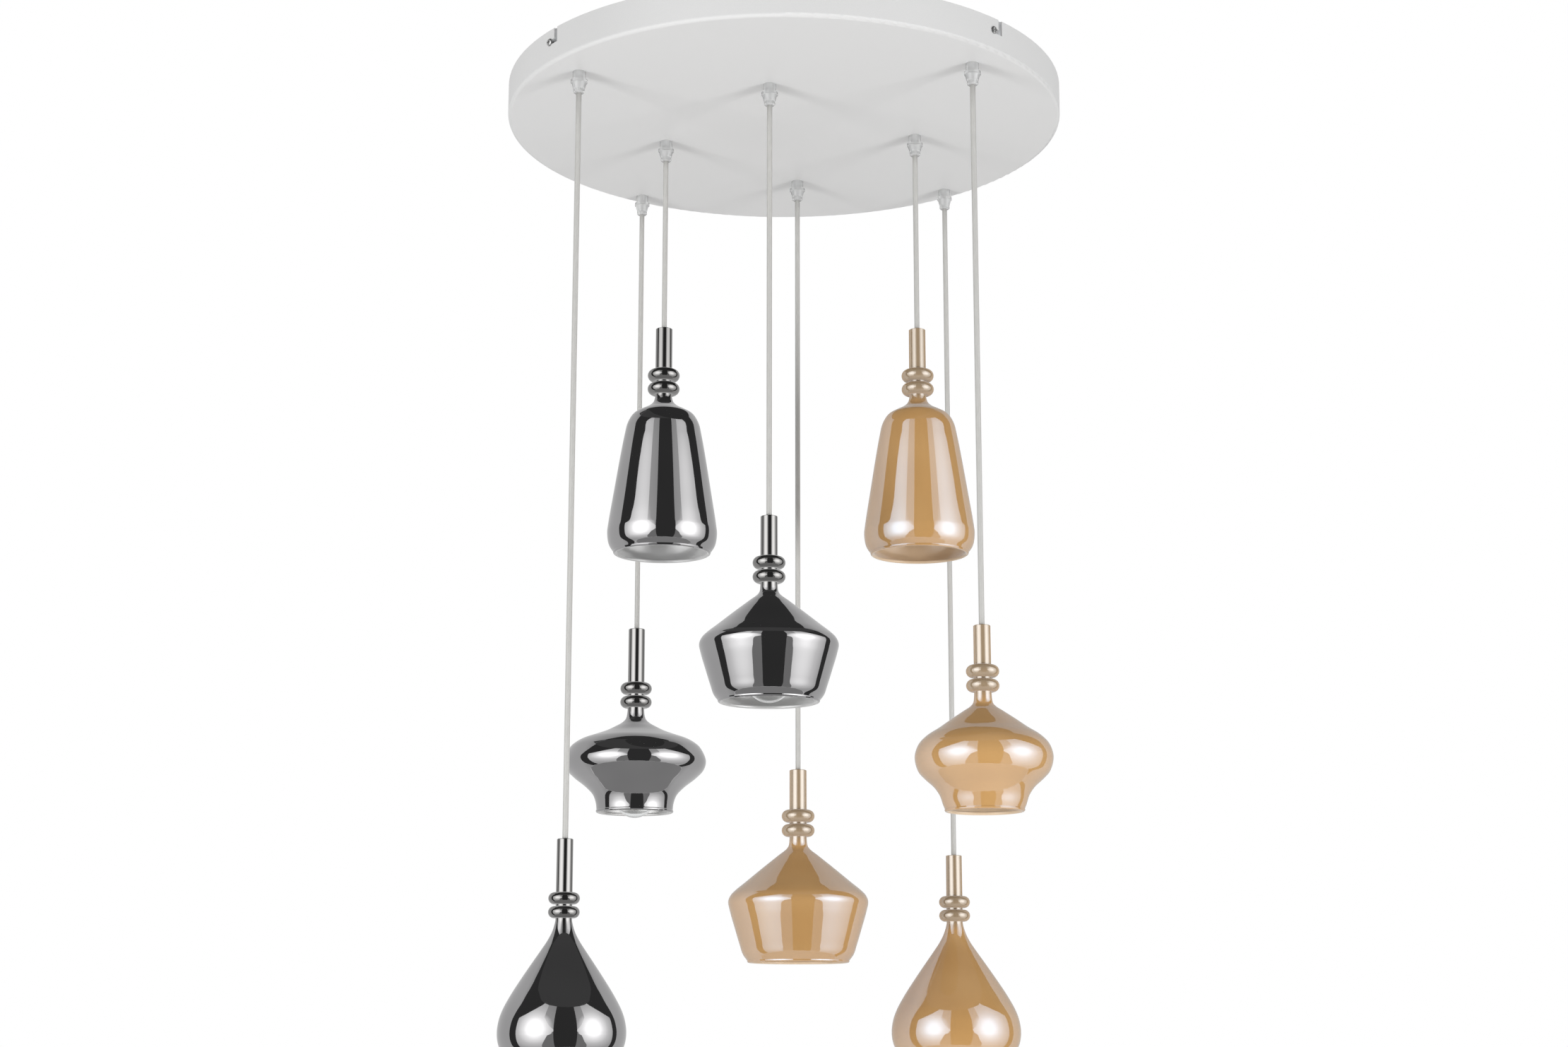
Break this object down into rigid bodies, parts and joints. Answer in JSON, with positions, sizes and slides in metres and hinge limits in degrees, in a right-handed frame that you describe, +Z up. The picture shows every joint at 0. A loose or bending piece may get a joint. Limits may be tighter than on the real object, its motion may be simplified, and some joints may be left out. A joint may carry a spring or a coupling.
{
  "type": "cluster pendant light",
  "caption": "Cluster pendant light: round white ceiling canopy with clear cord grips and cables, and blown smoke and amber glass shades with ringed necks over round bulbs.",
  "frame": {"origin": "centre of the mounting bracket's top face, in the plane of the ceiling", "axes": "+Z points up into the ceiling, and the pendants hang along -Z; +X points to the right and -Y to the front as pictured"},
  "size_m": [0.58, 0.582, 1.0101],
  "materials": {
    "canopy_white": "satin white powder coat",
    "galvanised_steel": "zinc plated",
    "box_plastic": "moulded",
    "terminal_plastic": "moulded",
    "clear_grip": "clear, glossy",
    "clear_cable": "clear sheath over pale cores",
    "earth_green": "glossy",
    "seat_rubber": "matte",
    "stem_steel": "zinc plated",
    "holder_plastic": "glossy ivory",
    "smoke_glass": "smoke mirror coat, polished",
    "amber_glass": "amber lustre coat, polished",
    "bulb_glass": "clear, polished"
  },
  "bodies": {
    "ceiling_unit": {"canopy": "canopy_white", "mounting_bracket": "galvanised_steel", "side_screws": "galvanised_steel", "junction_box": "box_plastic", "junction_lid": "box_plastic", "terminal_strips": "terminal_plastic", "cord_grip_bases": "clear_grip", "cord_grip_nuts": "clear_grip", "lock_nuts": "clear_grip", "cable_tails": "clear_cable", "earth_lead": "earth_green", "earth_stud": "galvanised_steel"},
    "hang_smoke_drop": {"cable_smoke_drop": "clear_cable"},
    "hang_amber_onion": {"cable_amber_onion": "clear_cable"},
    "hang_smoke_diamond": {"cable_smoke_diamond": "clear_cable"},
    "hang_amber_bell": {"cable_amber_bell": "clear_cable"},
    "hang_smoke_bell": {"cable_smoke_bell": "clear_cable"},
    "hang_amber_diamond": {"cable_amber_diamond": "clear_cable"},
    "hang_amber_drop": {"cable_amber_drop": "clear_cable"},
    "hang_smoke_onion": {"cable_smoke_onion": "clear_cable"},
    "pendant_smoke_drop": {"shade_smoke_drop": "smoke_glass", "seat_smoke_drop": "seat_rubber", "stem_smoke_drop": "stem_steel", "holder_smoke_drop": "holder_plastic", "bulb_smoke_drop": "bulb_glass"},
    "pendant_amber_onion": {"shade_amber_onion": "amber_glass", "seat_amber_onion": "seat_rubber", "stem_amber_onion": "stem_steel", "holder_amber_onion": "holder_plastic", "bulb_amber_onion": "bulb_glass"},
    "pendant_smoke_diamond": {"shade_smoke_diamond": "smoke_glass", "seat_smoke_diamond": "seat_rubber", "stem_smoke_diamond": "stem_steel", "holder_smoke_diamond": "holder_plastic", "bulb_smoke_diamond": "bulb_glass"},
    "pendant_amber_bell": {"shade_amber_bell": "amber_glass", "seat_amber_bell": "seat_rubber", "stem_amber_bell": "stem_steel", "holder_amber_bell": "holder_plastic", "bulb_amber_bell": "bulb_glass"},
    "pendant_smoke_bell": {"shade_smoke_bell": "smoke_glass", "seat_smoke_bell": "seat_rubber", "stem_smoke_bell": "stem_steel", "holder_smoke_bell": "holder_plastic", "bulb_smoke_bell": "bulb_glass"},
    "pendant_amber_diamond": {"shade_amber_diamond": "amber_glass", "seat_amber_diamond": "seat_rubber", "stem_amber_diamond": "stem_steel", "holder_amber_diamond": "holder_plastic", "bulb_amber_diamond": "bulb_glass"},
    "pendant_amber_drop": {"shade_amber_drop": "amber_glass", "seat_amber_drop": "seat_rubber", "stem_amber_drop": "stem_steel", "holder_amber_drop": "holder_plastic", "bulb_amber_drop": "bulb_glass"},
    "pendant_smoke_onion": {"shade_smoke_onion": "smoke_glass", "seat_smoke_onion": "seat_rubber", "stem_smoke_onion": "stem_steel", "holder_smoke_onion": "holder_plastic", "bulb_smoke_onion": "bulb_glass"}
  },
  "joints": [
    {"name": "swing_smoke_drop", "type": "hinge", "parent": "ceiling_unit", "child": "hang_smoke_drop", "pos_m": [-0.204, -0.153, -0.0575], "axis": [0, 1, 0], "range_deg": [-10, 10]},
    {"name": "swing_amber_onion", "type": "hinge", "parent": "ceiling_unit", "child": "hang_amber_onion", "pos_m": [0.186, -0.174, -0.0575], "axis": [0, 1, 0], "range_deg": [-10, 10]},
    {"name": "swing_smoke_diamond", "type": "hinge", "parent": "ceiling_unit", "child": "hang_smoke_diamond", "pos_m": [-0.0145, -0.12, -0.0575], "axis": [0, 1, 0], "range_deg": [-10, 10]},
    {"name": "swing_amber_bell", "type": "hinge", "parent": "ceiling_unit", "child": "hang_amber_bell", "pos_m": [0.1395, 0.024, -0.0575], "axis": [0, 1, 0], "range_deg": [-15, 15]},
    {"name": "swing_smoke_bell", "type": "hinge", "parent": "ceiling_unit", "child": "hang_smoke_bell", "pos_m": [-0.1265, 0.041, -0.0575], "axis": [0, 1, 0], "range_deg": [-15, 15]},
    {"name": "swing_amber_diamond", "type": "hinge", "parent": "ceiling_unit", "child": "hang_amber_diamond", "pos_m": [0.015, 0.166, -0.0575], "axis": [0, 1, 0], "range_deg": [-5.5, 5.5]},
    {"name": "swing_amber_drop", "type": "hinge", "parent": "ceiling_unit", "child": "hang_amber_drop", "pos_m": [0.182, 0.195, -0.0575], "axis": [0, 1, 0], "range_deg": [-5.5, 5.5]},
    {"name": "swing_smoke_onion", "type": "hinge", "parent": "ceiling_unit", "child": "hang_smoke_onion", "pos_m": [-0.162, 0.215, -0.0575], "axis": [0, 1, 0], "range_deg": [-5.5, 5.5]},
    {"name": "lift_smoke_drop", "type": "slide", "parent": "hang_smoke_drop", "child": "pendant_smoke_drop", "axis": [0, 0, 1], "range_m": [0, 0.3], "deforming": ["cable_smoke_drop"]},
    {"name": "lift_amber_onion", "type": "slide", "parent": "hang_amber_onion", "child": "pendant_amber_onion", "axis": [0, 0, 1], "range_m": [0, 0.3], "deforming": ["cable_amber_onion"]},
    {"name": "lift_smoke_diamond", "type": "slide", "parent": "hang_smoke_diamond", "child": "pendant_smoke_diamond", "axis": [0, 0, 1], "range_m": [0, 0.3], "deforming": ["cable_smoke_diamond"]},
    {"name": "lift_amber_bell", "type": "slide", "parent": "hang_amber_bell", "child": "pendant_amber_bell", "axis": [0, 0, 1], "range_m": [0, 0.15], "deforming": ["cable_amber_bell"]},
    {"name": "lift_smoke_bell", "type": "slide", "parent": "hang_smoke_bell", "child": "pendant_smoke_bell", "axis": [0, 0, 1], "range_m": [0, 0.15], "deforming": ["cable_smoke_bell"]},
    {"name": "lift_amber_diamond", "type": "slide", "parent": "hang_amber_diamond", "child": "pendant_amber_diamond", "axis": [0, 0, 1], "range_m": [0, 0.3], "deforming": ["cable_amber_diamond"]},
    {"name": "lift_amber_drop", "type": "slide", "parent": "hang_amber_drop", "child": "pendant_amber_drop", "axis": [0, 0, 1], "range_m": [0, 0.3], "deforming": ["cable_amber_drop"]},
    {"name": "lift_smoke_onion", "type": "slide", "parent": "hang_smoke_onion", "child": "pendant_smoke_onion", "axis": [0, 0, 1], "range_m": [0, 0.3], "deforming": ["cable_smoke_onion"]}
  ]
}
